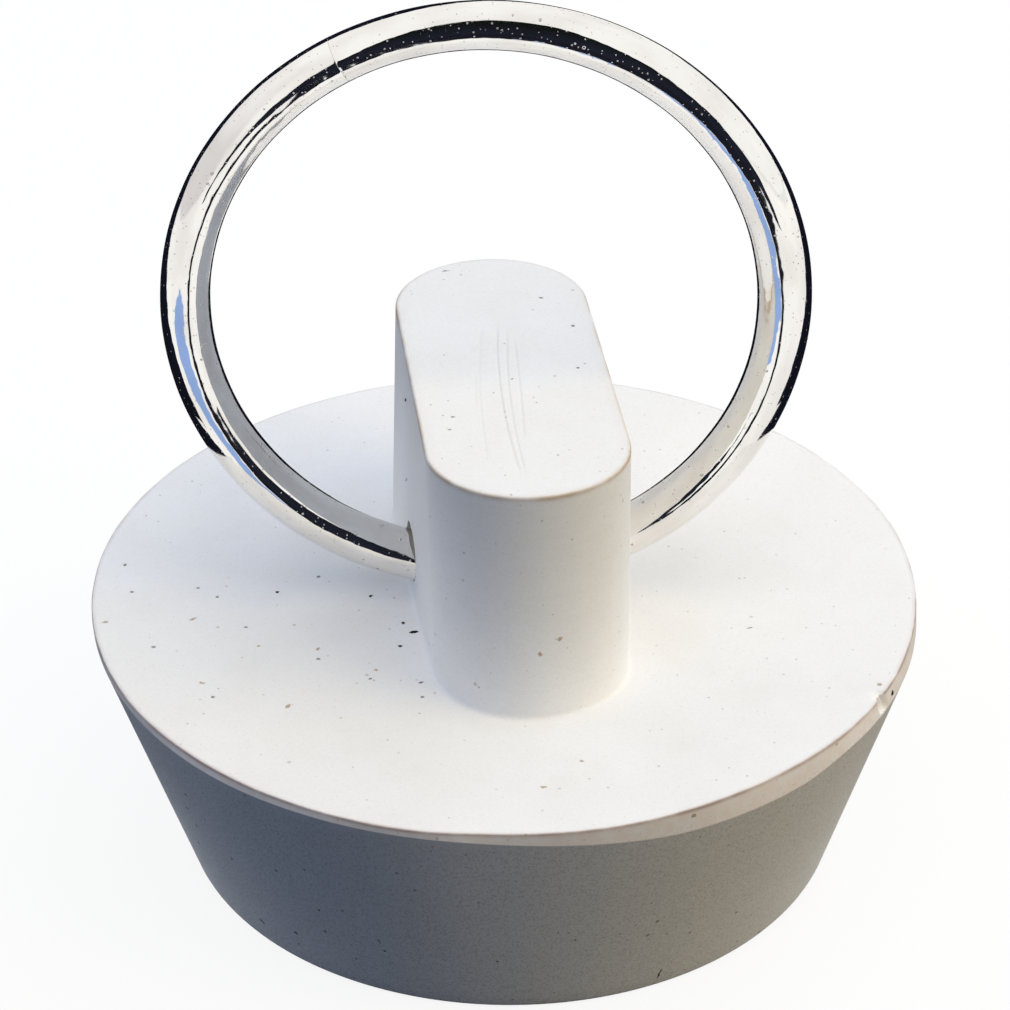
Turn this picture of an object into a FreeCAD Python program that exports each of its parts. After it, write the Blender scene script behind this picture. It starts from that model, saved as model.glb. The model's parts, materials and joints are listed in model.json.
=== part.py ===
"""A rubber drain stopper: a tapered plug with a lug moulded on top, and a wire ring through the lug's hole.

Millimetres and degrees. The origin is the middle of the plug's flat underside, with +Z up. The hole for the
ring runs along X, so the ring swings about an axis along X. It stands nearly in the XZ plane, leaning
a little towards +Y.
"""
import FreeCAD, Part
import math
import os
import Sketcher

# Driving dimensions: alias, value, meaning
SIZES = (
    ("plug_top_diameter", 44.45, "trimmed rim of the top face"),
    ("plug_bottom_diameter", 35.45, "foot of the taper, before its edge is rounded"),
    ("plug_height", 14.6, "underside to top face"),
    ("plug_foot_radius", 0.6, "rounding of the bottom edge"),
    ("trim_allowance", 0.38, "radial width of moulded taper that the rim trim takes off"),
    ("trim_offset", 0.19, "how far the rim trim runs off the taper's axis"),
    ("trim_direction", 155.0, "side towards which the trim runs off, from +X"),
    ("lug_thickness", 10.5, "across the flat sides"),
    ("lug_length", 24.4, "over the round ends"),
    ("lug_height", 13.5, "above the top face"),
    ("lug_edge_radius", 0.3, "rounding of the top edge"),
    ("lug_turn", 7.3, "turn of the lug from square with the hole"),
    ("hole_floor", 0.3, "rubber between the top face and the hole"),
    ("ring_diameter", 31.2, "to the middle of the wire"),
    ("wire_diameter", 2.69, "plated wire"),
    ("ring_clearance", 0.1, "between the wire and the hole, where they are closest"),
    ("ring_shift", 1.2, "sideways rest of the ring in the hole, towards -X"),
    ("ring_lean", 3.7, "lean of the standing ring towards +Y"),
    ("seam_angle", 118.0, "place of the wire's butted ends on the ring, from +X"),
    ("seam_gap", 0.1, "gap between the butted ends"),
)

# Formulas that several features share
TRIM_RADIUS = "Sizes.plug_top_diameter / 2"
MOULD_RADIUS = f"({TRIM_RADIUS} + Sizes.trim_allowance)"
RING_RADIUS = "Sizes.ring_diameter / 2"
WIRE_RADIUS = "Sizes.wire_diameter / 2"

# The wire is bent, so it needs a hole wider than itself: from the underside of the ring's lowest point up to
# the ring's inner edge where that leaves the lug on the far side. INNER_DEPTH is that edge's depth below the
# ring's centre. The hole's axis, which the ring swings about, runs half-way between the two.
# LUG_REACH is the distance along X to the lug's slanted wall, at its farthest point round the hole.
LUG_REACH = "(Sizes.lug_thickness / 2 / cos(Sizes.lug_turn) + Sizes.wire_diameter * tan(Sizes.lug_turn))"
INNER_DEPTH = f"sqrt(({RING_RADIUS} - {WIRE_RADIUS}) ^ 2 - ({LUG_REACH} + Sizes.ring_shift) ^ 2)"
HOLE_RADIUS = f"(({RING_RADIUS} + {WIRE_RADIUS} - {INNER_DEPTH}) / 2 + Sizes.ring_clearance)"
HINGE_HEIGHT = f"(Sizes.plug_height + Sizes.hole_floor + {HOLE_RADIUS})"
RING_CENTRE_REACH = f"(({RING_RADIUS} + {WIRE_RADIUS} + {INNER_DEPTH}) / 2)"

# Sketch references: the sketch's own axes, and the points of a line, arc or circle
ORIGIN = -1
VERTICAL_AXIS = -2
START = 1
END = 2
CENTRE = 3

UP = FreeCAD.Vector(0, 0, 1)
LEVEL_TOLERANCE = 1e-6


def add_sizes(doc):
    """Puts the driving dimensions into a spreadsheet, one row each."""
    sheet = doc.addObject("Spreadsheet::Sheet", "Sizes")
    for row, (alias, value, meaning) in enumerate(SIZES, start=1):
        sheet.set(f"A{row}", alias)
        sheet.set(f"B{row}", str(value))
        sheet.setAlias(f"B{row}", alias)
        sheet.set(f"C{row}", meaning)
    doc.recompute()
    return sheet


def add_sketch(body, name, plane_role):
    """Adds a sketch to a body, attached to one of the body's own origin planes."""
    sketch = body.newObject("Sketcher::SketchObject", name)
    plane = next(item for item in body.Origin.OriginFeatures if item.Role == plane_role)
    sketch.AttachmentSupport = [(plane, "")]
    sketch.MapMode = "FlatFace"
    return sketch


def turned(axis):
    """A placement that turns about an axis, by an angle that a formula then sets."""
    return FreeCAD.Placement(FreeCAD.Vector(), FreeCAD.Rotation(axis, 1))


def tie(sketch, kind, *references):
    """Adds a geometric constraint to a sketch."""
    sketch.addConstraint(Sketcher.Constraint(kind, *references))


def drive(sketch, name, formula, kind, *references):
    """Adds a named dimension to a sketch and binds it to a formula of the sheet."""
    value = float(sketch.evalExpression(formula))
    index = sketch.addConstraint(Sketcher.Constraint(kind, *references, value))
    sketch.renameConstraint(index, name)
    sketch.setExpression(f"Constraints.{name}", formula)


def add_line(sketch, start, end):
    """Adds a straight edge to a sketch, from two pairs of coordinates."""
    segment = Part.LineSegment(FreeCAD.Vector(*start), FreeCAD.Vector(*end))
    return sketch.addGeometry(segment, False)


def add_circle(sketch, centre, radius):
    """Adds a circle to a sketch."""
    circle = Part.Circle(FreeCAD.Vector(*centre), UP, radius)
    return sketch.addGeometry(circle, False)


def add_arc(sketch, centre, radius, start_angle):
    """Adds a half circle to a sketch, anticlockwise from an angle in radians."""
    circle = Part.Circle(FreeCAD.Vector(*centre), UP, radius)
    arc = Part.ArcOfCircle(circle, start_angle, start_angle + math.pi)
    return sketch.addGeometry(arc, False)


def edges_at_height(shape, height):
    """Names the edges of a shape that lie wholly in one level plane."""
    names = []
    for number, edge in enumerate(shape.Edges, start=1):
        box = edge.BoundBox
        if max(abs(box.ZMin - height), abs(box.ZMax - height)) < LEVEL_TOLERANCE:
            names.append(f"Edge{number}")
    return names


def add_fillet(body, name, base, height, formula):
    """Rounds the edges of a feature that lie at one height."""
    fillet = body.newObject("PartDesign::Fillet", name)
    fillet.Base = (base, edges_at_height(base.Shape, height))
    fillet.setExpression("Radius", formula)
    body.Document.recompute()
    return fillet


def add_cut(body, name, sketch, both_ways):
    """Cuts a sketch right through a body, upwards from the sketch or both ways, and checks that it cuts."""
    before = body.Shape.Volume
    cut = body.newObject("PartDesign::Pocket", name)
    cut.Profile = sketch
    cut.Type = "ThroughAll"
    cut.SideType = "Symmetric" if both_ways else "One side"
    cut.Reversed = not both_ways
    body.Document.recompute()
    if body.Shape.Volume >= before:
        raise RuntimeError(f"{name} cuts nothing")
    return cut


def sketch_taper(body, sizes):
    """Half section of the moulded plug: straight taper between two flat faces, drawn beside the axis."""
    sketch = add_sketch(body, "TaperSection", "XZ_Plane")
    foot = sizes.plug_bottom_diameter / 2
    brim = sizes.plug_top_diameter / 2 + sizes.trim_allowance
    height = sizes.plug_height
    floor = add_line(sketch, (0, 0), (foot, 0))
    side = add_line(sketch, (foot, 0), (brim, height))
    top = add_line(sketch, (brim, height), (0, height))
    axis = add_line(sketch, (0, height), (0, 0))
    corners = ((floor, side), (side, top), (top, axis), (axis, floor))
    for first, second in corners:
        tie(sketch, "Coincident", first, END, second, START)
    tie(sketch, "Coincident", floor, START, ORIGIN, START)
    tie(sketch, "Horizontal", floor)
    tie(sketch, "Horizontal", top)
    tie(sketch, "Vertical", axis)
    drive(sketch, "foot", "Sizes.plug_bottom_diameter / 2", "DistanceX", floor, START, floor, END)
    drive(sketch, "brim", MOULD_RADIUS, "DistanceX", top, END, top, START)
    drive(sketch, "height", "Sizes.plug_height", "DistanceY", axis, END, axis, START)
    return sketch


def sketch_trim(body, sizes):
    """Waste outside the trimmed rim: a flat collar whose inner circle runs a little off the taper's axis."""
    sketch = add_sketch(body, "TrimSection", "XY_Plane")
    direction = math.radians(sizes.trim_direction)
    centre = (sizes.trim_offset * math.cos(direction), sizes.trim_offset * math.sin(direction))
    rim_radius = sizes.plug_top_diameter / 2
    rim = add_circle(sketch, centre, rim_radius)
    waste = add_circle(sketch, centre, rim_radius + 2 * sizes.trim_allowance)
    tie(sketch, "Coincident", rim, CENTRE, waste, CENTRE)
    drive(sketch, "rim", TRIM_RADIUS, "Radius", rim)
    drive(sketch, "waste", f"{MOULD_RADIUS} + 2 * Sizes.trim_offset", "Radius", waste)
    across = "Sizes.trim_offset * cos(Sizes.trim_direction)"
    along = "Sizes.trim_offset * sin(Sizes.trim_direction)"
    drive(sketch, "across", across, "DistanceX", ORIGIN, START, rim, CENTRE)
    drive(sketch, "along", along, "DistanceY", ORIGIN, START, rim, CENTRE)
    return sketch


def sketch_lug(body, sizes):
    """Plan of the lug on the top face: two flat sides joined by half circles, turned about the axis."""
    sketch = add_sketch(body, "LugPlan", "XY_Plane")
    sketch.AttachmentOffset = turned(UP)
    sketch.setExpression("AttachmentOffset.Base.z", "Sizes.plug_height")
    sketch.setExpression("AttachmentOffset.Rotation.Angle", "Sizes.lug_turn")
    half_width = sizes.lug_thickness / 2
    half_side = sizes.lug_length / 2 - half_width
    back = add_arc(sketch, (0, half_side), half_width, 0)
    left = add_line(sketch, (-half_width, half_side), (-half_width, -half_side))
    front = add_arc(sketch, (0, -half_side), half_width, math.pi)
    right = add_line(sketch, (half_width, -half_side), (half_width, half_side))
    joins = ((back, left), (left, front), (front, right), (right, back))
    for first, second in joins:
        tie(sketch, "Tangent", first, END, second, START)
    tie(sketch, "Equal", back, front)
    tie(sketch, "PointOnObject", back, CENTRE, VERTICAL_AXIS)
    tie(sketch, "Symmetric", back, CENTRE, front, CENTRE, ORIGIN, START)
    drive(sketch, "end", "Sizes.lug_thickness / 2", "Radius", back)
    spread = "Sizes.lug_length - Sizes.lug_thickness"
    drive(sketch, "spread", spread, "DistanceY", front, CENTRE, back, CENTRE)
    return sketch


def sketch_hole(body, sizes):
    """Round hole across the lug's foot, on the ring's swing axis."""
    sketch = add_sketch(body, "HoleSection", "YZ_Plane")
    rough_radius = sizes.wire_diameter
    hole = add_circle(sketch, (0, sizes.plug_height + rough_radius), rough_radius)
    tie(sketch, "PointOnObject", hole, CENTRE, VERTICAL_AXIS)
    drive(sketch, "hole", HOLE_RADIUS, "Radius", hole)
    drive(sketch, "level", HINGE_HEIGHT, "DistanceY", ORIGIN, START, hole, CENTRE)
    return sketch


def make_plug(doc, sizes):
    """The rubber plug and its lug, moulded in one piece."""
    body = doc.addObject("PartDesign::Body", "RubberPlug")
    body.Label = "rubber_plug"

    section = sketch_taper(body, sizes)
    taper = body.newObject("PartDesign::Revolution", "Taper")
    taper.Profile = section
    taper.ReferenceAxis = (section, ["V_Axis"])
    taper.Angle = 360
    doc.recompute()

    add_fillet(body, "FootRounding", taper, 0.0, "Sizes.plug_foot_radius")
    add_cut(body, "RimTrim", sketch_trim(body, sizes), both_ways=False)

    lug = body.newObject("PartDesign::Pad", "Lug")
    lug.Profile = sketch_lug(body, sizes)
    lug.setExpression("Length", "Sizes.lug_height")
    doc.recompute()
    lug_top = sizes.plug_height + sizes.lug_height
    add_fillet(body, "LugEdge", lug, lug_top, "Sizes.lug_edge_radius")

    add_cut(body, "RingHole", sketch_hole(body, sizes), both_ways=True)
    return body


def make_ring(doc, sizes):
    """The pull ring: round wire turned about the ring's own axis, open by a hairline where its ends butt."""
    body = doc.addObject("PartDesign::Body", "PullRing")
    body.Label = "pull_ring"

    # The wire's section is turned about the ring's axis, Y, so that the bend starts and ends at the seam.
    section = add_sketch(body, "WireSection", "XY_Plane")
    section.AttachmentOffset = turned(FreeCAD.Vector(0, -1, 0))
    section.setExpression("AttachmentOffset.Rotation.Angle", "Sizes.seam_angle")
    wire = add_circle(section, (sizes.ring_diameter / 2, 0), sizes.wire_diameter / 2)
    tie(section, "PointOnObject", wire, CENTRE, ORIGIN)
    drive(section, "wire", WIRE_RADIUS, "Radius", wire)
    drive(section, "bend", RING_RADIUS, "DistanceX", ORIGIN, START, wire, CENTRE)

    turn = body.newObject("PartDesign::Revolution", "WireTurn")
    turn.Profile = section
    turn.ReferenceAxis = (section, ["V_Axis"])
    turn.setExpression("Angle", f"360 - Sizes.seam_gap / ({RING_RADIUS}) * 180 / pi")

    # The ring leans in the hole about the swing axis, and rests a little to one side.
    body.Placement = turned(FreeCAD.Vector(-1, 0, 0))
    body.setExpression("Placement.Rotation.Angle", "Sizes.ring_lean")
    body.setExpression("Placement.Base.x", "-Sizes.ring_shift")
    body.setExpression("Placement.Base.y", f"{RING_CENTRE_REACH} * sin(Sizes.ring_lean)")
    rise = f"{RING_CENTRE_REACH} * cos(Sizes.ring_lean)"
    body.setExpression("Placement.Base.z", f"{HINGE_HEIGHT} + {rise}")
    doc.recompute()
    return body


def check(doc, bodies):
    """Stops if any object failed to recompute, or if a piece is not one valid solid."""
    for item in doc.Objects:
        if "Invalid" in item.State or "Error" in item.State:
            raise RuntimeError(f"{item.Label} failed: {item.State}")
    for body in bodies:
        shape = body.Shape
        if shape.isNull() or not shape.isValid() or len(shape.Solids) != 1:
            raise RuntimeError(f"{body.Label} is not one valid solid")


def main():
    doc = FreeCAD.newDocument("drain_stopper")
    sizes = add_sizes(doc)
    bodies = [make_plug(doc, sizes), make_ring(doc, sizes)]
    doc.recompute()
    check(doc, bodies)
    os.makedirs("parts", exist_ok=True)
    for body in bodies:
        body.Shape.exportStep(f"parts/{body.Label}.step")
        box = body.Shape.BoundBox
        print(f"{body.Label}: {body.Shape.Volume:.1f} mm3,"
              f" {box.XLength:.2f} x {box.YLength:.2f} x {box.ZLength:.2f} mm")


main()
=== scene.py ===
"""A rubber drain stopper with a wire pull ring: its looks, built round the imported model.

Lengths are in millimetres until a mesh, lamp or camera is made, which is in metres. The plug stands on z = 0,
the hole for the ring runs along X, and the camera looks along +Y. Azimuths are in degrees from +X.
"""
import json
import math

import bpy
import numpy as np
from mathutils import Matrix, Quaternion, Vector


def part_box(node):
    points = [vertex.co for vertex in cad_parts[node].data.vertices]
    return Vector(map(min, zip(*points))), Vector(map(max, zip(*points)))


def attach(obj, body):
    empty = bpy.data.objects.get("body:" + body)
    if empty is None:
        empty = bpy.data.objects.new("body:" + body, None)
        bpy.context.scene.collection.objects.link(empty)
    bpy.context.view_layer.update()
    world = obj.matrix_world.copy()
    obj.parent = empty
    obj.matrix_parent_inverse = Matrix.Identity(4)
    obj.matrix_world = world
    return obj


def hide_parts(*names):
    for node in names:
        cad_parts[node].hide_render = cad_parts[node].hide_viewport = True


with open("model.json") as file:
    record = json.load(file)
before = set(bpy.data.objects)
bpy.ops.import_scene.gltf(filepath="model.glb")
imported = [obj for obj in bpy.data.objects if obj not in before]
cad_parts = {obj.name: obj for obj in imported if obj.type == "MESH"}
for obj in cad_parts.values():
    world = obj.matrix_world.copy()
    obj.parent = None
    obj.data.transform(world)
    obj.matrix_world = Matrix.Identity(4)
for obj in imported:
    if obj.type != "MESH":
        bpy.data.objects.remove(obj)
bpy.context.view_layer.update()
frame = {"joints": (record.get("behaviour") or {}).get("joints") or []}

MM = 0.001

# Sizes read from the frame
PLUG_HIGH = np.array(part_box("rubber_plug")[1]) / MM
RING_LOW, RING_HIGH = (np.array(corner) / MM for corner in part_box("pull_ring"))
SWING = frame["joints"][0]
HINGE = np.array(SWING["pos_m"]) / MM

# Plug: taper, rim and lug
TOP_HEIGHT = 14.6
FOOT_RADIUS = 17.72
BRIM_RADIUS = 22.61
FOOT_ROUNDING = 0.6
RIM_ROUNDING = 0.09
LUG_TOP = PLUG_HIGH[2]
LUG_HALF_THICKNESS = 5.24
LUG_HALF_LENGTH = 12.21
LUG_END_DEPTH = 4.85
LUG_STRAIGHT = LUG_HALF_LENGTH - LUG_END_DEPTH
LUG_TURN = 6.8
LUG_NARROWING = 0.022
LUG_LEAN = 0.24
LUG_LEFT_TWIST = 0.0033
LUG_EDGE_ROUNDING = 0.14
LUG_ROOT_ROUNDING = 0.22
HOLE_CLEARANCE = 0.012
HOLE_OVERRUN = 1.25

# Hand-trimmed rim: azimuth, radius of the top edge, radius of the land's lower edge, height of the land
RIM_SHAPE = (
    (-180, 22.55, 22.50, 0.45),
    (-159, 22.48, 22.49, 0.48),
    (-136, 22.40, 22.48, 0.47),
    (-119, 22.36, 22.40, 0.44),
    (-105, 22.32, 22.36, 0.42),
    (-92, 22.08, 22.16, 0.61),
    (-79, 22.10, 22.14, 0.94),
    (-65, 21.95, 22.03, 1.34),
    (-49, 21.83, 22.03, 1.33),
    (-36, 21.88, 22.10, 0.95),
    (-18, 21.88, 22.03, 0.92),
    (-2, 21.91, 21.95, 0.75),
    (20, 22.05, 22.10, 0.60),
    (46, 22.18, 22.20, 0.55),
    (100, 22.33, 22.40, 0.50),
    (145, 22.49, 22.47, 0.45),
)
TOP_EDGE, LOWER_EDGE, LAND = 1, 2, 3
RIM_WAVE = 0.012

# A chip out of the rim
CHIP_AZIMUTH = -28.0
CHIP_DROP = 0.42
CHIP_HALF_LENGTH = 0.42
CHIP_HALF_WIDTH = 0.52
CHIP_DEPTH = 0.34
CHIP_INWARD = 0.8
CHIP_DOWNWARD = 0.6

# Stained edges: width of the stain, its place below the edge, and how strong it is
RIM_STAIN_WIDTH = 0.1
RIM_STAIN_DROP = 0.07
LUG_STAIN_WIDTH = 0.15
LUG_STAIN_DROP = 0.1
STAIN_STRENGTH = 0.85

# Marks on the rubber, and how uneven their edges are: centre, half length, half width, heading and downward
# pitch in degrees
MARK_RAGGEDNESS = 0.22
BLACK_MARKS = (
    (-5.74, -3.18, 14.6, 0.14, 0.12, 0, 0),
    (-5.15, -4.04, 14.6, 0.3, 0.13, 12, 0),
    (-5.88, -5.35, 14.6, 0.13, 0.13, 0, 0),
    (-7.48, -0.57, 14.6, 0.16, 0.11, 30, 0),
    (-12.56, -0.13, 14.6, 0.12, 0.11, 0, 0),
    (-5.45, 2.01, 25.4, 0.85, 0.12, 96.8, 34),
    (-5.46, 1.83, 20.5, 0.75, 0.11, 96.8, 34),
    (-11.44, -14.7, 2.71, 0.12, 0.12, 0, 0),
    (-13.32, -12.64, 1.92, 0.3, 0.1, -50, 30),
    (-6.7, -17.75, 3.9, 0.12, 0.1, 0, 0),
    (6.97, -18.11, 5.0, 0.15, 0.1, 20, 0),
    (11.78, -15.02, 4.08, 0.1, 0.1, 0, 0),
    (7.68, -16.36, 1.1, 0.55, 0.07, 135, 70),
    (20.04, -9.16, 14.02, 0.22, 0.15, 65, 0),
    (21.14, -6.24, 14.45, 0.2, 0.12, 73, 0),
    (-16.67, -10.03, 5.17, 0.12, 0.11, 0, 0),
)
GREY_MARKS = (
    (-4.69, -10.07, 14.6, 0.15, 0.13, 0, 0),
    (-10.36, 1.34, 14.6, 0.15, 0.12, 40, 0),
    (-14.13, -3.47, 14.6, 0.14, 0.11, 0, 0),
    (-15.61, -9.95, 14.6, 0.14, 0.13, 0, 0),
    (-15.78, -0.57, 14.6, 0.12, 0.11, 0, 0),
    (-16.85, 0.31, 14.6, 0.13, 0.11, 0, 0),
    (-18.96, -5.3, 14.6, 0.17, 0.11, 0, 0),
    (-20.39, -0.04, 14.6, 0.13, 0.12, 0, 0),
    (-20.92, 2.61, 14.6, 0.13, 0.13, 0, 0),
    (-10.19, -6.52, 14.6, 0.13, 0.11, 0, 0),
    (-4.75, -8.75, 14.6, 0.15, 0.11, 0, 0),
    (-7.43, -8.36, 14.6, 0.12, 0.12, 0, 0),
    (-2.54, -10.99, 15.23, 0.12, 0.12, 0, 0),
    (12.78, -3.84, 14.6, 0.25, 0.08, 20, 0),
    (3.44, 5.07, 28.1, 0.12, 0.12, 0, 0),
    (3.6, 0.72, 28.1, 0.12, 0.11, 0, 0),
    (0.12, -0.36, 28.1, 0.09, 0.09, 0, 0),
    (-2.98, -4.12, 28.1, 0.13, 0.1, 0, 0),
    (-3.14, -5.39, 28.1, 0.12, 0.1, 0, 0),
    (1.78, 8.06, 28.1, 0.17, 0.09, 0, 0),
    (-3.35, 11.02, 28.1, 0.3, 0.07, 14, 0),
    (-6.95, -17.9, 4.6, 0.4, 0.06, 20, 60),
    (5.49, -18.84, 5.65, 0.14, 0.08, -40, 0),
    (9.28, -16.71, 4.16, 0.3, 0.07, 150, 60),
    (-17.12, -11.42, 8.51, 0.16, 0.12, 0, 0),
    (-17.07, -12.44, 10.1, 0.13, 0.12, 0, 0),
    (-16.64, -11.43, 7.34, 0.14, 0.12, 0, 0),
    (-14.73, -13.48, 6.69, 0.13, 0.11, 0, 0),
    (-12.3, -16.29, 8.01, 0.13, 0.12, 0, 0),
    (-10.79, -17.77, 9.12, 0.12, 0.11, 0, 0),
    (16.76, -14.25, 14.34, 0.13, 0.11, 0, 0),
)
OCHRE_MARKS = (
    (-11.67, -10.81, 14.6, 0.26, 0.15, 70, 0),
    (-21.67, -2.91, 14.6, 0.24, 0.12, 20, 0),
    (-13.39, -5.27, 14.6, 0.12, 0.11, 0, 0),
    (-16.98, -2.67, 14.6, 0.3, 0.1, 35, 0),
    (-16.25, -8.66, 14.6, 0.2, 0.12, -10, 0),
    (-7.13, -7.56, 14.6, 0.14, 0.11, 0, 0),
    (-10.23, -5.57, 14.6, 0.2, 0.1, 80, 0),
    (3.52, -15.86, 14.6, 0.14, 0.12, 0, 0),
    (1.49, -18.09, 14.6, 0.22, 0.12, 0, 0),
    (19.3, -9.2, 14.6, 0.2, 0.16, 0, 0),
    (2.45, -11.86, 19.41, 0.18, 0.16, 0, 0),
    (1.42, -12.05, 18.62, 0.16, 0.16, 0, 0),
    (9.08, -20.04, 14.15, 0.2, 0.17, 0, 0),
)

# Flow lines on the lug's top: x = offset + slope y + bend y^2, from one y to another, and how strong
FLOW_LINES = (
    (-0.57, -0.039, 0.0068, -10.0, 5.6, 1.0),
    (-0.10, -0.024, 0.0062, -10.0, 5.0, 0.8),
    (0.47, -0.042, -0.0009, -6.8, 4.0, 0.7),
    (-1.58, 0.004, 0.0062, -8.7, 5.6, 0.4),
    (-1.79, -0.004, 0.0, -3.8, 0.9, 0.3),
    (3.45, -0.402, 0.0, 7.6, 9.4, 0.5),
)
FLOW_HALF_WIDTH = 0.13
FLOW_FADE = 1.6

# Specks in the rubber: spacing, radius, share kept and strength
SPECKS = ((0.4, 0.055, 0.9, 0.4), (0.8, 0.09, 0.9, 0.7), (1.9, 0.13, 0.8, 0.8))

# Colours of the rubber, of what stains it and of the marks on it
RUBBER_WARM = (0.90, 0.897, 0.893, 1)
RUBBER_COOL = (0.91, 0.91, 0.915, 1)
GRAIN = (0.5, 0.49, 0.48, 1)
STREAK = (0.66, 0.64, 0.60, 1)
FLOW_GREY = (0.5, 0.5, 0.5, 1)
LAND_TINT = (0.83, 0.73, 0.67, 1)
RIM_STAIN = (0.36, 0.23, 0.20, 1)
LUG_STAIN = (0.50, 0.36, 0.22, 1)
BLACK = (0.01, 0.01, 0.01, 1)
GREY = (0.09, 0.08, 0.07, 1)
OCHRE = (0.36, 0.22, 0.09, 1)
DIRT = (
    (0.0, (0.05, 0.045, 0.04)),
    (0.12, (0.10, 0.07, 0.05)),
    (0.25, (0.40, 0.36, 0.32)),
    (0.55, (0.48, 0.38, 0.27)),
    (0.8, (0.45, 0.45, 0.46)),
    (1.0, (0.50, 0.36, 0.22)),
)

# Heights of the rubber's relief
GRAIN_RELIEF = 0.004
SWELL_RELIEF = 0.004
FLOW_RELIEF = -0.02
MARK_RELIEF = -0.02

# Ring of round wire
WIRE_RADIUS = 1.345
RING_LEAN = math.radians(3.7)
RING_SHIFT = np.array([-0.07, 0, 0.1])
RING_WIDENING = 0.04
RING_CENTRE = (RING_LOW + RING_HIGH) / 2 + RING_SHIFT
RING_RADIUS = (RING_HIGH[0] - RING_LOW[0]) / 2 - WIRE_RADIUS + RING_WIDENING

# Uneven wire: angle round the ring from +X, and how much thicker or thinner it is
WIRE_SHAPE = (
    (-60, 0.0), (-25, 0.03), (10, 0.1), (55, 0.0), (110, -0.09), (150, -0.04), (185, -0.02), (240, 0.0),
)
SEAM_AZIMUTH = 118.0
SEAM_GAP = 0.004
SEAM_ROUNDING = 0.012
WIRE_WAVE = 0.004

# Colours of the plating, and heights of its relief
PLATING_BRIGHT = (0.93, 0.91, 0.87, 1)
PLATING_HAZY = (0.82, 0.79, 0.75, 1)
PIT = (0.30, 0.24, 0.20, 1)
RIPPLE_RELIEF = 0.03
DRAWN_RELIEF = 0.0018
PIT_RELIEF = -0.018

# Mesh fineness
PLUG_COLUMNS = 880
CHIP_CROWDING = 4
CHIP_CROWDED_SPAN = 2.5
RING_ROWS = 900
RING_COLUMNS = 80
HOLE_COLUMNS = 96
HOLE_STATIONS = 33
CARD_COLUMNS = 90
SHARP_ANGLE = math.radians(50)

# Photographed view: the camera looks at the middle of the top face, then turns a little
CAMERA_AZIMUTH = -0.656
CAMERA_ELEVATION = 33.757
CAMERA_DISTANCE = 252.86
CAMERA_TILT = 0.018
CAMERA_PAN = 0.001
FOCAL_PIXELS = 4678.6
FRAME_PIXELS = 1010
SENSOR = 36.0

# Studio levels: floor colour, the glow that makes it white, the light that it throws back on the object, and
# the light of the room on the object
FLOOR_COLOUR = 0.12
FLOOR_GLOW = 0.88
FLOOR_BOUNCE = 0.025
ROOM_LIGHT = 0.01
LAMP_DISTANCE = 0.7

# Cards round the object that the bright wire mirrors. Upright ones: azimuth, lowest and highest edge
BACK_CARD_RADIUS = 42
BACK_CARD = (
    (-20, 0, 1), (0, 0, 18), (16, 0, 34), (35, 0, 45), (55, 0, 48), (78, 0, 47), (95, 0, 60), (112, 0, 74),
    (125, 0, 70), (140, 0, 57), (150, 0, 48), (165, 0, 34), (180, 0, 23), (195, 0, 12), (205, 0, 1),
)
FRONT_CARD_RADIUS = 150
FRONT_CARD = (
    (-114, 0, 20), (-108, 0, 120), (-104, 0, 170), (-98, 0, 200), (-90, 0, 215), (-80, 0, 215), (-72, 0, 200),
    (-66, 0, 150), (-61, 0, 70), (-57, 0, 15),
)
LEFT_CARD_RADIUS = 350
LEFT_CARD = ((118, 0, 40), (130, 0, 250), (150, 0, 400), (200, 0, 420), (222, 0, 330), (236, 0, 60))

# Level ones, just over the floor: azimuth, inner and outer radius
LEVEL_CARD_GAP = 0.4
# The first, round the plug's foot, is a painted shadow: it stands for the plug's shadow on the floor and
# shows only in the wire's reflections
FLOOR_SHADOW_CARD = (
    (-75, 23, 24), (-60, 23, 28), (-45, 23, 31), (-30, 23, 33), (-20, 23, 36), (0, 23, 43), (90, 23, 43),
    (180, 23, 43), (200, 23, 38), (215, 23, 36), (235, 23, 33), (250, 23, 28), (262, 23, 24),
)
FRONT_FLOOR = (
    (-97, 130, 150), (-92, 60, 150), (-88, 54, 150), (-84, 76, 150), (-80, 84, 150), (-76, 105, 150),
    (-70, 135, 150),
)
BLUE_FLOOR = (
    (-150, 62, 80), (-138, 52, 92), (-125, 46, 95), (-114, 42, 84), (-107, 44, 72), (-100, 49, 66),
    (-95, 53, 69), (-92.5, 55, 64),
)


# Plug


def periodic(azimuths, knots, values):
    """Smooth closed curve through values at knot azimuths, by cubic pieces with gentle slopes."""
    knots = np.array(knots, float)
    values = np.array(values, float)
    ahead = np.roll(values, -1)
    gap = (np.roll(knots, -1) - knots) % 360
    slope = (ahead - values) / gap
    before = np.roll(slope, 1)
    level = slope * before <= 0
    safe = np.where(level, 1.0, slope + before)
    tangent = np.where(level, 0.0, 2 * slope * before / safe)
    offset = (azimuths - knots[0]) % 360
    piece = np.searchsorted((knots - knots[0]) % 360, offset, side="right") - 1
    t = (offset - (knots[piece] - knots[0])) / gap[piece]
    start, end = values[piece], ahead[piece]
    lean_in = tangent[piece] * gap[piece]
    lean_out = np.roll(tangent, -1)[piece] * gap[piece]
    return (
        start * (1 + 2 * t) * (1 - t) ** 2
        + lean_in * t * (1 - t) ** 2
        + end * t**2 * (3 - 2 * t)
        + lean_out * t**2 * (t - 1)
    )


def rim_size(azimuths, column):
    """One of the rim's sizes at each azimuth."""
    return periodic(azimuths, [row[0] for row in RIM_SHAPE], [row[column] for row in RIM_SHAPE])


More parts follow.
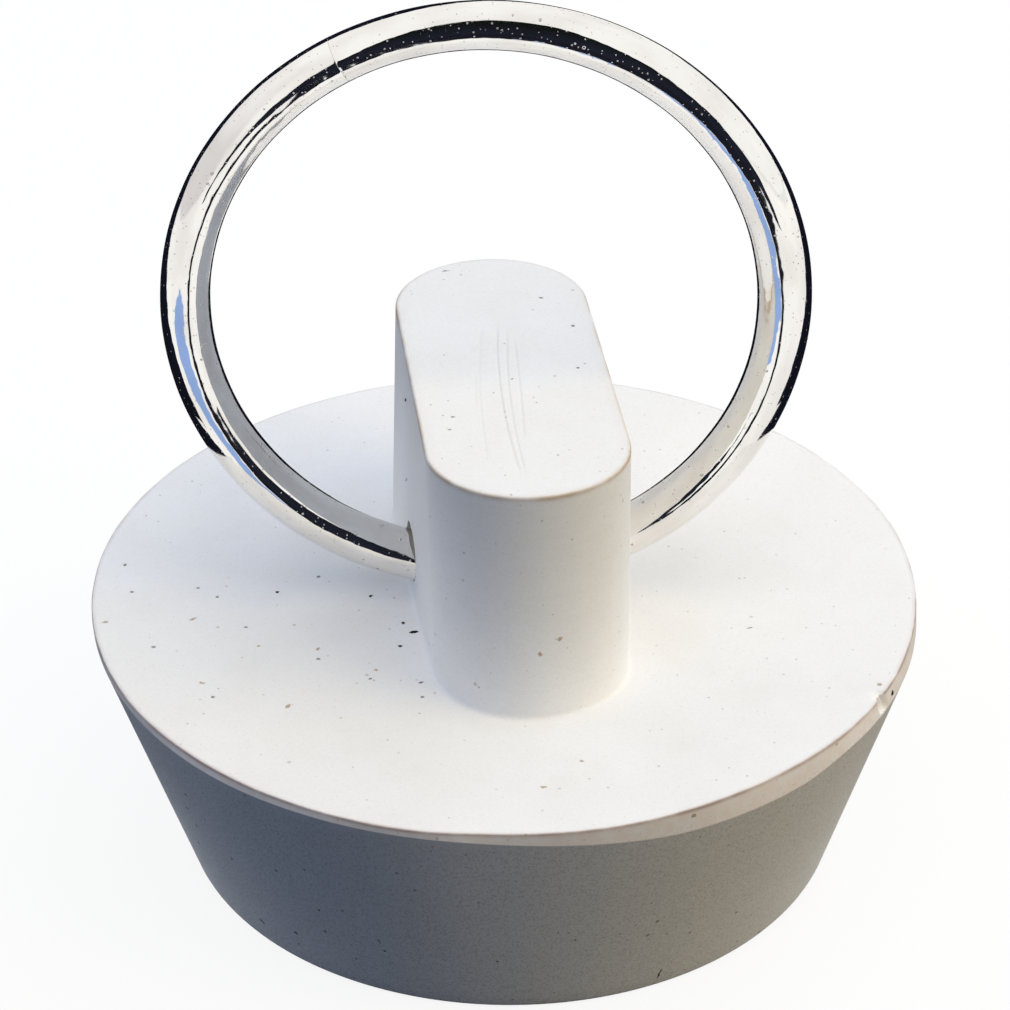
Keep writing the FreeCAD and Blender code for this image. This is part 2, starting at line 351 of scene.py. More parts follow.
def plug_azimuths():
    """Azimuths of the plug's columns in degrees, closer together at the chip."""
    fine = np.linspace(-180, 180, 7201)
    density = 1 + CHIP_CROWDING * np.exp(-(((fine - CHIP_AZIMUTH) / CHIP_CROWDED_SPAN) ** 2))
    share = np.concatenate(([0], np.cumsum((density[1:] + density[:-1]) / 2)))
    wanted = np.arange(PLUG_COLUMNS) / PLUG_COLUMNS * share[-1]
    return np.interp(wanted, share, fine)


def lug_reach(azimuths):
    """Distance from the plug's axis to the lug's outline: flat sides between elliptical ends."""
    turn = np.radians(azimuths - LUG_TURN)
    across, along = np.abs(np.cos(turn)), np.abs(np.sin(turn))
    a = (across / LUG_HALF_THICKNESS) ** 2 + (along / LUG_END_DEPTH) ** 2
    b = -2 * LUG_STRAIGHT * along / LUG_END_DEPTH**2
    c = (LUG_STRAIGHT / LUG_END_DEPTH) ** 2 - 1
    end = (-b + np.sqrt(np.maximum(b * b - 4 * a * c, 0))) / (2 * a)
    side = LUG_HALF_THICKNESS / np.maximum(across, 1e-9)
    return np.where(side * along <= LUG_STRAIGHT, side, end)


def level_loop(azimuths, radii, height):
    """Points round the axis at one height, or at a height for each point."""
    turn = np.radians(azimuths)
    heights = np.broadcast_to(height, azimuths.shape)
    return np.stack([radii * np.cos(turn), radii * np.sin(turn), heights], 1)


def lug_outline(azimuths, height):
    """The lug's outline at one height: narrower at the back, leaning back, its left side twisted a little."""
    turn = math.radians(LUG_TURN)
    across_way = np.array([math.cos(turn), math.sin(turn), 0])
    along_way = np.array([-math.sin(turn), math.cos(turn), 0])
    square = level_loop(azimuths, lug_reach(azimuths), height)
    along, across = square @ along_way, square @ across_way
    narrowed = -LUG_NARROWING * along / LUG_HALF_LENGTH * across
    leftness = np.maximum(-across / LUG_HALF_THICKNESS, 0)
    twisted = -LUG_LEFT_TWIST * (LUG_TOP - height) * along * leftness
    lean = LUG_LEAN * (height - TOP_HEIGHT) / (LUG_TOP - TOP_HEIGHT)
    return square + np.outer(narrowed + twisted, across_way) + along_way * lean


def outward(loop):
    """Level unit normals of a closed loop that runs anticlockwise."""
    along = np.roll(loop, -1, 0) - np.roll(loop, 1, 0)
    normal = np.stack([along[:, 1], -along[:, 0], np.zeros(len(loop))], 1)
    return normal / np.linalg.norm(normal, axis=1, keepdims=True)


def moved(loop, out, up):
    """A loop shifted along its level normals and upwards."""
    return loop + outward(loop) * out + np.array([0, 0, up])


def between(first, last, shares):
    """Loops part of the way from one loop to another."""
    return [first * (1 - share) + last * share for share in shares]


def rounded_edge(corner, radius, steps, out_sign, up_sign):
    """Loops of a quarter round that replaces a square corner, from its level side to its upright side."""
    turns = np.linspace(0, math.pi / 2, steps)
    return [
        moved(corner, out_sign * radius * (1 - math.sin(turn)), up_sign * radius * (1 - math.cos(turn)))
        for turn in turns
    ]


def lug_loops(azimuths):
    """The lug from the middle of its top down to the plug's top face."""
    corner = lug_outline(azimuths, LUG_TOP)
    root = lug_outline(azimuths, TOP_HEIGHT)
    edge = rounded_edge(corner, LUG_EDGE_ROUNDING, 6, -1, -1)
    middle = np.tile(np.array([0, 0, LUG_TOP]), (len(azimuths), 1))
    top = between(middle, edge[0], np.linspace(0.04, 0.985, 10))
    foot = rounded_edge(root, LUG_ROOT_ROUNDING, 5, 1, 1)[::-1]
    near_edge = np.array([0.008, 0.016, 0.028, 0.045])
    wall = between(edge[-1], foot[0], np.concatenate([near_edge, np.linspace(0, 1, 14)[1:-1]]))
    return top + edge + wall + foot


def rim_loops(azimuths):
    """The trimmed rim: a small round at the top edge, then the land down to the taper."""
    turn = np.radians(azimuths)
    wave = np.sin(7 * turn + 0.6) + 0.7 * np.sin(17 * turn + 2.1) + 0.5 * np.sin(41 * turn + 4.0)
    corner = level_loop(azimuths, rim_size(azimuths, TOP_EDGE) + RIM_WAVE * wave, TOP_HEIGHT)
    low = level_loop(azimuths, rim_size(azimuths, LOWER_EDGE), TOP_HEIGHT - rim_size(azimuths, LAND))
    edge = rounded_edge(corner, RIM_ROUNDING, 4, -1, -1)
    return edge + between(edge[-1], low, (0.15, 0.35, 0.6, 0.85, 0.95, 1.0))


def foot_loops(azimuths):
    """The rounded bottom edge, tangent to the taper and to the underside, and the underside."""
    lean = math.atan2(BRIM_RADIUS - FOOT_RADIUS, TOP_HEIGHT)
    centre_radius = FOOT_RADIUS - FOOT_ROUNDING * (1 - math.sin(lean)) / math.cos(lean)
    turns = np.linspace(-lean, -math.pi / 2, 7)
    edge = [
        level_loop(
            azimuths,
            centre_radius + FOOT_ROUNDING * math.cos(turn),
            FOOT_ROUNDING * (1 + math.sin(turn)),
        )
        for turn in turns
    ]
    shares = (0.97, 0.85, 0.65, 0.45, 0.25, 0.08)
    under = [level_loop(azimuths, centre_radius * share, 0.0) for share in shares]
    return edge + under


def chip(points):
    """Presses a small chip into the rim's edge and land."""
    turn = math.radians(CHIP_AZIMUTH)
    radius = rim_size(np.array([CHIP_AZIMUTH]), TOP_EDGE)[0]
    radial = np.array([math.cos(turn), math.sin(turn), 0])
    tangent = np.array([-math.sin(turn), math.cos(turn), 0])
    away = points - np.array([*(radial[:2] * radius), TOP_HEIGHT - CHIP_DROP])
    along = away @ tangent / CHIP_HALF_LENGTH
    in_section = np.hypot(away @ radial, away[:, 2]) / CHIP_HALF_WIDTH
    ragged = 1 + 0.25 * np.sin(9 * along + 1) * np.sin(7 * in_section)
    push = CHIP_DEPTH * ragged * np.exp(-(along**4)) * np.exp(-(in_section**4))
    return points - (radial * CHIP_INWARD + np.array([0, 0, CHIP_DOWNWARD])) * push[:, None]


def lofted(loops):
    """Vertices and faces of a skin over loops of equal length, with its two ends closed by fans."""
    count = len(loops[0])
    points = np.concatenate(loops)
    here = np.arange(count)
    ahead = np.roll(here, -1)
    faces = []
    for row in range(len(loops) - 1):
        upper, lower = row * count, (row + 1) * count
        faces += np.stack([upper + here, lower + here, lower + ahead, upper + ahead], 1).tolist()
    first, last = len(points), len(points) + 1
    points = np.concatenate([points, [loops[0].mean(0)], [loops[-1].mean(0)]])
    bottom = (len(loops) - 1) * count
    faces += [[first, int(i), int(j)] for i, j in zip(here, ahead)]
    faces += [[last, bottom + int(j), bottom + int(i)] for i, j in zip(here, ahead)]
    return points, faces


def add_mesh(name, points, faces):
    """A mesh object from points in millimetres."""
    mesh = bpy.data.meshes.new(name)
    mesh.from_pydata((points * MM).tolist(), [], faces)
    mesh.validate()
    piece = bpy.data.objects.new(name, mesh)
    bpy.context.scene.collection.objects.link(piece)
    return piece


def smooth(piece):
    """Smooth shading with true corners kept sharp."""
    piece.data.shade_smooth()
    piece.data.set_sharp_from_angle(angle=SHARP_ANGLE)


def set_attribute(piece, name, values):
    """Stores a number or a vector for each vertex, for the materials to read."""
    values = np.asarray(values, np.float32)
    kind, field = ("FLOAT", "value") if values.ndim == 1 else ("FLOAT_VECTOR", "vector")
    layer = piece.data.attributes.new(name, kind, "POINT")
    layer.data.foreach_set(field, values.ravel())


def hole_loop(x, turns):
    """The hole's section at x: the room that the bent wire needs there over the whole swing."""
    drop = math.sqrt(RING_RADIUS**2 - (x - RING_CENTRE[0]) ** 2)
    middle = RING_CENTRE[2] - drop * math.cos(RING_LEAN) - HINGE[2]
    half = WIRE_RADIUS * RING_RADIUS / drop
    low, high = np.radians(SWING["range_deg"])
    swept = math.copysign(math.pi / 2, middle) - RING_LEAN + (low + high) / 2
    off = np.abs((turns - swept + math.pi) % (2 * math.pi) - math.pi)
    off = np.maximum(off - (high - low) / 2, 0)
    shift = abs(middle)
    reach = shift * np.cos(off) + np.sqrt(half**2 - (shift * np.sin(off)) ** 2) + HOLE_CLEARANCE
    return np.stack([np.full(len(turns), x), reach * np.cos(turns), HINGE[2] + reach * np.sin(turns)], 1)


def cut_hole(piece):
    """Cuts the hole for the ring across the lug's foot."""
    turns = np.linspace(0, 2 * math.pi, HOLE_COLUMNS, endpoint=False)
    half_length = HOLE_OVERRUN * LUG_HALF_THICKNESS
    loops = [hole_loop(x, turns) for x in np.linspace(-half_length, half_length, HOLE_STATIONS)]
    cutter = add_mesh("hole_cutter", *lofted(loops))
    cutter.data.flip_normals()
    cut = piece.modifiers.new("hole", "BOOLEAN")
    cut.operation = "DIFFERENCE"
    cut.solver = "EXACT"
    cut.object = cutter
    graph = bpy.context.evaluated_depsgraph_get()
    result = bpy.data.meshes.new_from_object(piece.evaluated_get(graph))
    piece.modifiers.clear()
    piece.data = result
    bpy.data.objects.remove(cutter)


def mark_edges(piece):
    """Stores where the rim's edge, its land and the lug's top edge are, for the stains on them."""
    points = np.empty(3 * len(piece.data.vertices))
    piece.data.vertices.foreach_get("co", points)
    x, y, z = points.reshape(-1, 3).T / MM
    azimuths = np.degrees(np.arctan2(y, x))
    off_rim = np.hypot(np.hypot(x, y) - rim_size(azimuths, TOP_EDGE), z - TOP_HEIGHT + RIM_STAIN_DROP)
    off_chip = np.radians(azimuths - CHIP_AZIMUTH) * BRIM_RADIUS / CHIP_HALF_LENGTH
    old = 1 - np.exp(-(off_chip**4))
    set_attribute(piece, "rim_edge", old * np.exp(-((off_rim / RIM_STAIN_WIDTH) ** 2)))
    below = TOP_HEIGHT - z
    on_land = (below > RIM_ROUNDING / 2) & (below < rim_size(azimuths, LAND) + 0.01)
    set_attribute(piece, "land", old * on_land)
    turn = math.radians(LUG_TURN)
    across = x * math.cos(turn) + y * math.sin(turn)
    along = y * math.cos(turn) - x * math.sin(turn) - LUG_LEAN
    across /= 1 - LUG_NARROWING * along / LUG_HALF_LENGTH
    past = np.maximum(np.abs(along) - LUG_STRAIGHT, 0) * LUG_HALF_THICKNESS / LUG_END_DEPTH
    off_wall = np.hypot(across, past) - LUG_HALF_THICKNESS
    off_edge = np.hypot(off_wall, z - LUG_TOP + LUG_STAIN_DROP)
    set_attribute(piece, "lug_edge", np.exp(-((off_edge / LUG_STAIN_WIDTH) ** 2)))


def make_plug():
    """The rubber plug with its lug, as one skin from the lug's top to the underside."""
    azimuths = plug_azimuths()
    lug = lug_loops(azimuths)
    rim = rim_loops(azimuths)
    foot = foot_loops(azimuths)
    near_lug = np.array([0.02, 0.06, 0.12, 0.2, 0.3, 0.42, 0.55, 0.68, 0.79, 0.88])
    near_rim = np.array([0.93, 0.955, 0.97, 0.98, 0.99])
    face = between(lug[-1], rim[0], np.concatenate([near_lug, near_rim]))
    near_land = np.array([0.004, 0.015])
    cone = between(rim[-1], foot[0], np.concatenate([near_land, np.linspace(0, 1, 22)[1:-1]]))
    loops = lug + face + rim + cone + foot
    points, faces = lofted(loops)
    piece = add_mesh("rubber_plug_body", chip(points), faces)
    cut_hole(piece)
    smooth(piece)
    mark_edges(piece)
    return piece


# Ring


def make_ring():
    """The pull ring: a bent length of wire whose two ends butt at the seam."""
    side = np.array([1.0, 0, 0])
    rise = np.array([0, math.sin(RING_LEAN), math.cos(RING_LEAN)])
    depth = np.array([0, math.cos(RING_LEAN), -math.sin(RING_LEAN)])
    half_gap = SEAM_GAP / 2 / RING_RADIUS
    start = math.radians(SEAM_AZIMUTH) + half_gap
    span = 2 * math.pi - 2 * half_gap
    round_span = SEAM_ROUNDING / RING_RADIUS
    quarter = np.linspace(0, 1, 6)
    lead = round_span * (1 - np.cos(quarter * math.pi / 2))
    body = np.linspace(round_span, span - round_span, RING_ROWS)
    bends = np.concatenate([lead[:-1], body, span - lead[:-1][::-1]])
    shrink = SEAM_ROUNDING * (1 - np.sin(quarter * math.pi / 2))
    inset = np.concatenate([shrink[:-1], np.zeros(RING_ROWS), shrink[:-1][::-1]])
    section = np.linspace(0, 2 * math.pi, RING_COLUMNS, endpoint=False)
    loops, unbent = [], []
    for bend, thin in zip(bends, inset):
        wave = np.sin(11 * bend + 1.7 * np.sin(section)) + 0.8 * np.sin(23 * bend + 2 * section + 0.9)
        angle = start + bend
        uneven = periodic(np.array([math.degrees(angle)]), *zip(*WIRE_SHAPE))
        radius = WIRE_RADIUS + uneven - thin + WIRE_WAVE * (wave - 1.8)
        out = side * math.cos(angle) + rise * math.sin(angle)
        spoke = np.outer(RING_RADIUS + radius * np.cos(section), out)
        loops.append(RING_CENTRE + spoke + np.outer(radius * np.sin(section), depth))
        along = np.full(RING_COLUMNS, bend * RING_RADIUS)
        unbent.append(np.stack([along, radius * np.cos(section), radius * np.sin(section)], 1))
    points, faces = lofted(loops)
    piece = add_mesh("pull_ring_wire", points, faces)
    set_attribute(piece, "unbent", lofted(unbent)[0])
    smooth(piece)
    return piece


# Materials


class Nodes:
    """Adds nodes to a node tree. An input is a value or another node's socket."""

    def __init__(self, tree):
        self.tree = tree
        tree.nodes.clear()

    def add(self, kind, inputs=None, **settings):
        node = self.tree.nodes.new(kind)
        for name, value in settings.items():
            setattr(node, name, value)
        for name, value in (inputs or {}).items():
            if isinstance(value, bpy.types.NodeSocket):
                self.tree.links.new(value, node.inputs[name])
            else:
                node.inputs[name].default_value = value
        return node

    def math(self, operation, first, second=0.0, third=0.0):
        return self.add("ShaderNodeMath", {0: first, 1: second, 2: third}, operation=operation).outputs[0]

    def remap(self, value, low, high, to_low=0.0, to_high=1.0):
        inputs = {"Value": value, "From Min": low, "From Max": high, "To Min": to_low, "To Max": to_high}
        return self.add("ShaderNodeMapRange", inputs, interpolation_type="SMOOTHSTEP").outputs[0]

    def mix(self, share, first, second):
        return self.add("ShaderNodeMix", {0: share, 6: first, 7: second}, data_type="RGBA").outputs[2]

    def noise(self, vector, scale, detail=3.0, roughness=0.5):
        inputs = {"Vector": vector, "Scale": scale, "Detail": detail, "Roughness": roughness}
        return self.add("ShaderNodeTexNoise", inputs).outputs["Fac"]

    def ramp(self, share, stops):
        node = self.add("ShaderNodeValToRGB", {"Fac": share})
        while len(node.color_ramp.elements) < len(stops):
            node.color_ramp.elements.new(1.0)
        for element, (place, colour) in zip(node.color_ramp.elements, stops):
            element.position = place
            element.color = (*colour, 1.0)
        return node.outputs["Color"]

    def attribute(self, name, output="Fac"):
        return self.add("ShaderNodeAttribute", attribute_name=name).outputs[output]

    def vectors(self, operation, first, second):
        return self.add("ShaderNodeVectorMath", {0: first, 1: second}, operation=operation).outputs[0]

    def stretched(self, vector, scale):
        return self.vectors("MULTIPLY", vector, scale)

    def millimetres(self):
        """Object coordinates in millimetres."""
        place = self.add("ShaderNodeTexCoord").outputs["Object"]
        return self.stretched(place, (1 / MM, 1 / MM, 1 / MM))

    def ragged(self, place):
        """Coordinates shaken a little, for marks with uneven edges."""
        noise = self.add("ShaderNodeTexNoise", {"Vector": place, "Scale": 9.0, "Detail": 2.0})
        centred = self.vectors("SUBTRACT", noise.outputs["Color"], (0.5, 0.5, 0.5))
        scaled = self.stretched(centred, (MARK_RAGGEDNESS, MARK_RAGGEDNESS, MARK_RAGGEDNESS))
        return self.vectors("ADD", place, scaled)

    def specks(self, place, spacing, radius, keep):
        """Scattered specks: their mask, and a number that differs from speck to speck."""
        cells = self.add("ShaderNodeTexVoronoi", {"Vector": place, "Scale": 1 / spacing})
        chance = self.add("ShaderNodeSeparateColor", {"Color": cells.outputs["Color"]})
        reach = self.remap(chance.outputs["Red"], 0.0, 1.0, 0.35 * radius / spacing, radius / spacing)
        inside = self.math("SUBTRACT", reach, cells.outputs["Distance"])
        mask = self.remap(inside, 0.0, 0.35 * radius / spacing)
        kept = self.math("LESS_THAN", chance.outputs["Green"], keep)
        return self.math("MULTIPLY", mask, kept), chance.outputs["Blue"]

    def marks(self, place, marks, crispness):
        """Mask of small long or round marks at given places."""
        nearest = 10.0
        for x, y, z, half_length, half_width, heading, pitch in marks:
            inputs = {
                "Vector": place,
                "Location": (x, y, z),
                "Rotation": (0.0, math.radians(pitch), math.radians(heading)),
                "Scale": (half_length, half_width, half_width),
            }
            local = self.add("ShaderNodeMapping", inputs, vector_type="TEXTURE").outputs[0]
            away = self.add("ShaderNodeVectorMath", {0: local}, operation="LENGTH").outputs["Value"]
            nearest = self.math("MINIMUM", away, nearest)
        return self.remap(nearest, 1.0, crispness)

    def finish(self, shader):
        self.add("ShaderNodeOutputMaterial", {"Surface": shader.outputs[0]})


def new_material(name):
    material = bpy.data.materials.new(name)
    material.use_nodes = True
    return material, Nodes(material.node_tree)


def flow_lines(nodes, place):
    """Faint lines that the rubber left on the lug's top as it filled the mould."""
    x, y, z = nodes.add("ShaderNodeSeparateXYZ", {0: place}).outputs
    lines = 0.0
    for offset, slope, bend, start, end, strength in FLOW_LINES:
        curve = nodes.math("MULTIPLY_ADD", y, nodes.math("MULTIPLY_ADD", y, bend, slope), offset)
        away = nodes.math("ABSOLUTE", nodes.math("SUBTRACT", x, curve))
        line = nodes.remap(away, FLOW_HALF_WIDTH, 0.0, 0.0, strength)
        front = nodes.remap(y, start, start + FLOW_FADE)
        back = nodes.remap(y, end, end - FLOW_FADE)
        lines = nodes.math("MULTIPLY_ADD", line, nodes.math("MULTIPLY", front, back), lines)
    return nodes.math("MULTIPLY", lines, nodes.remap(z, LUG_TOP - 0.3, LUG_TOP - 0.1))


def rubber_material():
    """Moulded white rubber with grain, faint mottling, flow lines, stained edges, specks and marks."""
    material, nodes = new_material("white_rubber")
    place = nodes.millimetres()
    mottle = nodes.remap(nodes.noise(place, 0.3, 4.0), 0.35, 0.65)
    colour = nodes.mix(mottle, RUBBER_WARM, RUBBER_COOL)
    height_above = nodes.add("ShaderNodeSeparateXYZ", {0: place}).outputs["Z"]
    on_taper = nodes.remap(height_above, TOP_HEIGHT - 0.4, TOP_HEIGHT - 1.2)
    grain = nodes.noise(place, 8.0, 4.0, 0.6)
    grainy = nodes.math("MULTIPLY_ADD", on_taper, 0.5, 0.12)
    grainy = nodes.math("MULTIPLY", grainy, nodes.remap(grain, 0.42, 0.72))
    colour = nodes.mix(grainy, colour, GRAIN)
    streaks = nodes.noise(nodes.stretched(place, (0.25, 0.25, 5.0)), 1.0, 3.0)
    colour = nodes.mix(nodes.remap(streaks, 0.5, 0.75, 0.0, 0.07), colour, STREAK)
    lines = flow_lines(nodes, place)
    colour = nodes.mix(nodes.math("MULTIPLY", lines, 0.17), colour, FLOW_GREY)

    worn = nodes.remap(nodes.noise(place, 0.45, 3.0), 0.3, 0.65, 0.35, 1.0)
    stain = nodes.math("MULTIPLY", worn, STAIN_STRENGTH)
    patchy = nodes.remap(nodes.noise(place, 1.6, 4.0), 0.3, 0.7, 0.3, 0.75)
    land = nodes.math("MULTIPLY", nodes.attribute("land"), patchy)
    colour = nodes.mix(land, colour, LAND_TINT)
    rim_edge = nodes.math("MULTIPLY", nodes.attribute("rim_edge"), stain)
    colour = nodes.mix(rim_edge, colour, RIM_STAIN)
    lug_edge = nodes.math("MULTIPLY", nodes.attribute("lug_edge"), stain)
    colour = nodes.mix(lug_edge, colour, LUG_STAIN)

    speckled = nodes.math("MULTIPLY_ADD", on_taper, 0.6, 0.6)
    for spacing, radius, keep, strength in SPECKS:
        mask, chance = nodes.specks(place, spacing, radius, keep)
        share = nodes.math("MULTIPLY", nodes.math("MULTIPLY", mask, strength), speckled)
        colour = nodes.mix(share, colour, nodes.ramp(chance, DIRT))
    ragged = nodes.ragged(place)
    black = nodes.marks(ragged, BLACK_MARKS, 0.75)
    colour = nodes.mix(black, colour, BLACK)
    grey = nodes.math("MULTIPLY", nodes.marks(ragged, GREY_MARKS, 0.5), 0.85)
    colour = nodes.mix(grey, colour, GREY)
    ochre = nodes.math("MULTIPLY", nodes.marks(ragged, OCHRE_MARKS, 0.5), 0.75)
    colour = nodes.mix(ochre, colour, OCHRE)

    swell = nodes.math("MULTIPLY", nodes.noise(place, 1.2, 3.0), SWELL_RELIEF)
    height = nodes.math("MULTIPLY_ADD", grain, GRAIN_RELIEF, swell)
    height = nodes.math("MULTIPLY_ADD", lines, FLOW_RELIEF, height)
    height = nodes.math("MULTIPLY_ADD", black, MARK_RELIEF, height)
    bump = nodes.add("ShaderNodeBump", {"Height": height, "Distance": MM})
    rough = nodes.remap(nodes.noise(place, 2.5, 3.0), 0.3, 0.7, 0.5, 0.64)
    shader = nodes.add("ShaderNodeBsdfPrincipled", {
        "Base Color": colour, "Roughness": rough, "Normal": bump.outputs[0], "Specular IOR Level": 0.12})
    nodes.finish(shader)
    return material


def plating_material():
    """Bright warm plating on drawn wire, with ripples, drawing lines, small pits and hazy patches."""
    material, nodes = new_material("bright_plating")
    place = nodes.attribute("unbent", "Vector")
    cloud = nodes.noise(nodes.stretched(place, (0.3, 1.0, 1.0)), 0.8, 4.0)
    colour = nodes.mix(nodes.remap(cloud, 0.35, 0.7), PLATING_BRIGHT, PLATING_HAZY)
    fine_pits, _ = nodes.specks(place, 0.24, 0.05, 0.85)
    pits, _ = nodes.specks(place, 0.8, 0.11, 0.7)
    pitted = nodes.math("MAXIMUM", nodes.math("MULTIPLY", fine_pits, 0.6), pits)
    colour = nodes.mix(nodes.math("MULTIPLY", pitted, 0.5), colour, PIT)
    rough = nodes.remap(cloud, 0.4, 0.75, 0.035, 0.08)
    rough = nodes.math("MULTIPLY_ADD", pitted, 0.25, rough)
    ripple = nodes.noise(nodes.stretched(place, (0.45, 0.8, 0.8)), 1.0, 2.0)
    drawn = nodes.noise(nodes.stretched(place, (0.2, 6.0, 6.0)), 1.0, 2.0)
    height = nodes.math("MULTIPLY_ADD", ripple, RIPPLE_RELIEF, nodes.math("MULTIPLY", drawn, DRAWN_RELIEF))
    height = nodes.math("MULTIPLY_ADD", pitted, PIT_RELIEF, height)
    bump = nodes.add("ShaderNodeBump", {"Height": height, "Distance": MM})
    shader = nodes.add("ShaderNodeBsdfPrincipled", {
        "Base Color": colour, "Roughness": rough, "Metallic": 1.0, "Normal": bump.outputs[0]})
    nodes.finish(shader)
    return material


# Stage: floor, lamps, cards and camera


def seen_directly(nodes):
    """One where it is seen, straight or in a reflection, and zero where it only lights the object."""
    path = nodes.add("ShaderNodeLightPath").outputs
    straight = nodes.math("MAXIMUM", path["Is Camera Ray"], path["Is Glossy Ray"])
    return nodes.math("MAXIMUM", straight, path["Is Transmission Ray"])


def make_floor():
    """A wide pale floor that shows as white and keeps the shadow."""
    bpy.ops.mesh.primitive_plane_add(size=8)
    floor = bpy.context.object
    floor.name = "floor"
    material, nodes = new_material("pale_floor")
    seen = seen_directly(nodes)
    colour = nodes.remap(seen, 0.0, 1.0, FLOOR_BOUNCE, FLOOR_COLOUR)
    diffuse = nodes.add("ShaderNodeBsdfDiffuse", {"Color": colour})
    glow = nodes.add("ShaderNodeEmission", {"Strength": nodes.math("MULTIPLY", seen, FLOOR_GLOW)})
    nodes.finish(nodes.add("ShaderNodeAddShader", {0: diffuse.outputs[0], 1: glow.outputs[0]}))
    floor.data.materials.append(material)


def make_world():
    """A white studio round the object, which lights it only softly."""
    world = bpy.data.worlds.new("studio")
    bpy.context.scene.world = world
    world.use_nodes = True
    nodes = Nodes(world.node_tree)
    strength = nodes.remap(seen_directly(nodes), 0.0, 1.0, ROOM_LIGHT, 1.0)
    light = nodes.add("ShaderNodeBackground", {"Color": (1, 1, 1, 1), "Strength": strength})
    nodes.add("ShaderNodeOutputWorld", {"Surface": light.outputs[0]})


def add_lamp(name, azimuth, elevation, size, watts, colour):
    """A soft square lamp that faces the object and isn't seen itself. Its size is in metres."""
    lamp = bpy.data.lights.new(name, "AREA")
    lamp.size = size
    lamp.energy = watts
    lamp.color = colour
    holder = bpy.data.objects.new(name, lamp)
    bpy.context.scene.collection.objects.link(holder)
    turn, rise = math.radians(azimuth), math.radians(elevation)
    back = Vector((math.cos(rise) * math.cos(turn), math.cos(rise) * math.sin(turn), math.sin(rise)))
    holder.location = back * LAMP_DISTANCE + Vector((0, 0, TOP_HEIGHT * MM))
    holder.rotation_mode = "QUATERNION"
    holder.rotation_quaternion = (-back).to_track_quat("-Z", "Y")
    holder.visible_camera = False
    holder.visible_glossy = False


def make_lamps():
    """Warm light from the right and above, cool light from behind and a little blue from the left."""
    add_lamp("right_lamp", -20, 33, 0.5, 2.65, (1.0, 0.87, 0.62))
    add_lamp("top_lamp", -90, 70, 0.75, 2.65, (1.0, 0.95, 0.85))
    add_lamp("back_right_lamp", 45, 33, 0.9, 3.9, (0.71, 0.81, 1.0))
    add_lamp("back_left_lamp", 145, 30, 0.9, 2.85, (0.89, 0.93, 1.0))
    add_lamp("cool_lamp", -135, 35, 0.5, 0.62, (0.05, 0.36, 1.0))


def add_card(name, first, second, first_colour, second_colour):
    """A card that shows only in reflections, fading from one edge's colour to the other's."""
    count = len(first)
    faces = [(i, i + 1, count + i + 1, count + i) for i in range(count - 1)]
    card = add_mesh(name, np.concatenate([first, second]), faces)
    set_attribute(card, "share", np.repeat([0.0, 1.0], count))
    material, nodes = new_material(name)
    share = nodes.remap(nodes.attribute("share"), 0.0, 1.0)
    colour = nodes.mix(share, (*first_colour, 1), (*second_colour, 1))
    nodes.finish(nodes.add("ShaderNodeEmission", {"Color": colour}))
    material.cycles.emission_sampling = "NONE"
    card.data.materials.append(material)
    card.visible_camera = False
    card.visible_diffuse = False
    card.visible_shadow = False


def card_outline(outline):
    """Azimuths in small steps, and an outline's two sizes at each."""
    knots = sorted(outline)
    azimuths = np.linspace(knots[0][0], knots[-1][0], CARD_COLUMNS)
    places, first, second = zip(*knots)
    return azimuths, np.interp(azimuths, places, first), np.interp(azimuths, places, second)


def upright_card(name, radius, outline, low_colour, high_colour):
    """A curved upright card round the object."""
    azimuths, low, high = card_outline(outline)
    edges = [level_loop(azimuths, radius, height) for height in (low, high)]
    add_card(name, *edges, low_colour, high_colour)


def level_card(name, outline, colour):
    """A card lying just above the floor."""
    azimuths, inner, outer = card_outline(outline)
    edges = [level_loop(azimuths, radius, LEVEL_CARD_GAP) for radius in (inner, outer)]
    add_card(name, *edges, colour, colour)


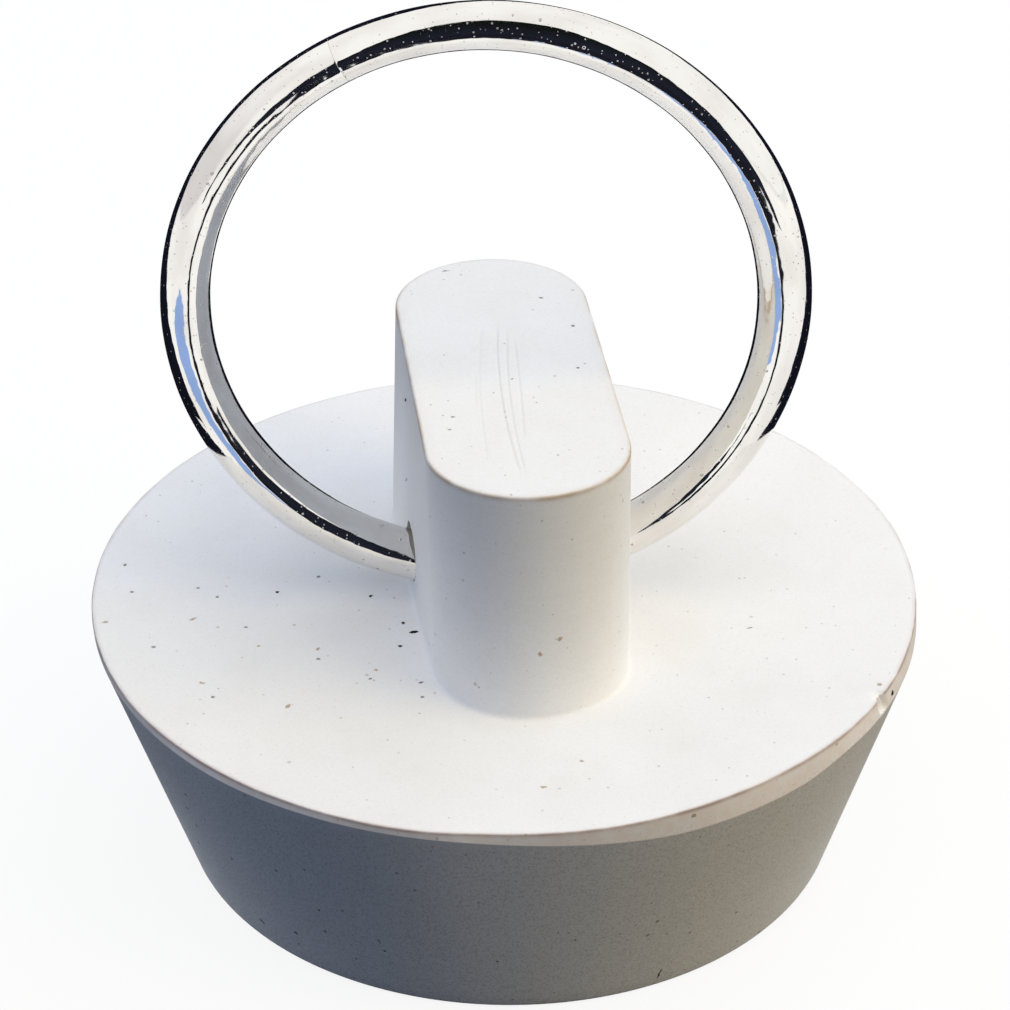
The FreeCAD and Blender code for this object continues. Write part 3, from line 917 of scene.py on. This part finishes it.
def make_cards():
    """Dark, pale and blue cards that give the bright wire its dark edges and coloured bands; the dark one
    round the plug's foot is a painted shadow of the floor.
    """
    upright_card("back_card", BACK_CARD_RADIUS, BACK_CARD, (0.006, 0.007, 0.012), (0.006, 0.007, 0.016))
    upright_card("front_card", FRONT_CARD_RADIUS, FRONT_CARD, (0.014, 0.016, 0.028), (0.005, 0.007, 0.004))
    upright_card("left_card", LEFT_CARD_RADIUS, LEFT_CARD, (0.78, 0.77, 0.79), (1.0, 1.0, 1.0))
    # A painted shadow: a dark card round the plug's foot where its shadow falls on the floor, seen only in
    # the wire
    level_card("painted_floor_shadow", FLOOR_SHADOW_CARD, (0.006, 0.007, 0.014))
    level_card("front_floor", FRONT_FLOOR, (0.011, 0.012, 0.02))
    level_card("blue_floor", BLUE_FLOOR, (0.30, 0.45, 0.82))


def make_camera():
    """The photograph's viewpoint."""
    camera = bpy.data.cameras.new("camera")
    camera.sensor_width = SENSOR
    camera.lens = SENSOR * FOCAL_PIXELS / FRAME_PIXELS
    camera.clip_start, camera.clip_end = 0.01, 20
    holder = bpy.data.objects.new("camera", camera)
    bpy.context.scene.collection.objects.link(holder)
    turn, rise = math.radians(CAMERA_AZIMUTH), math.radians(CAMERA_ELEVATION)
    back = Vector((math.sin(turn) * math.cos(rise), -math.cos(turn) * math.cos(rise), math.sin(rise)))
    holder.location = Vector((0, 0, TOP_HEIGHT * MM)) + back * CAMERA_DISTANCE * MM
    straight = (-back).to_track_quat("-Z", "Y")
    holder.rotation_mode = "QUATERNION"
    aim = Quaternion((0, 1, 0), CAMERA_PAN) @ Quaternion((1, 0, 0), CAMERA_TILT)
    holder.rotation_quaternion = straight @ aim
    bpy.context.scene.camera = holder


def main():
    """Both pieces, each on its own body, and then the stage."""
    plug = make_plug()
    plug.data.materials.clear()
    plug.data.materials.append(rubber_material())
    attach(plug, "plug")
    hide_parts("rubber_plug")

    ring = make_ring()
    ring.data.materials.append(plating_material())
    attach(ring, "ring")
    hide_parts("pull_ring")

    make_floor()
    make_world()
    make_lamps()
    make_cards()
    make_camera()
    bpy.context.scene.view_settings.view_transform = "Standard"


main()
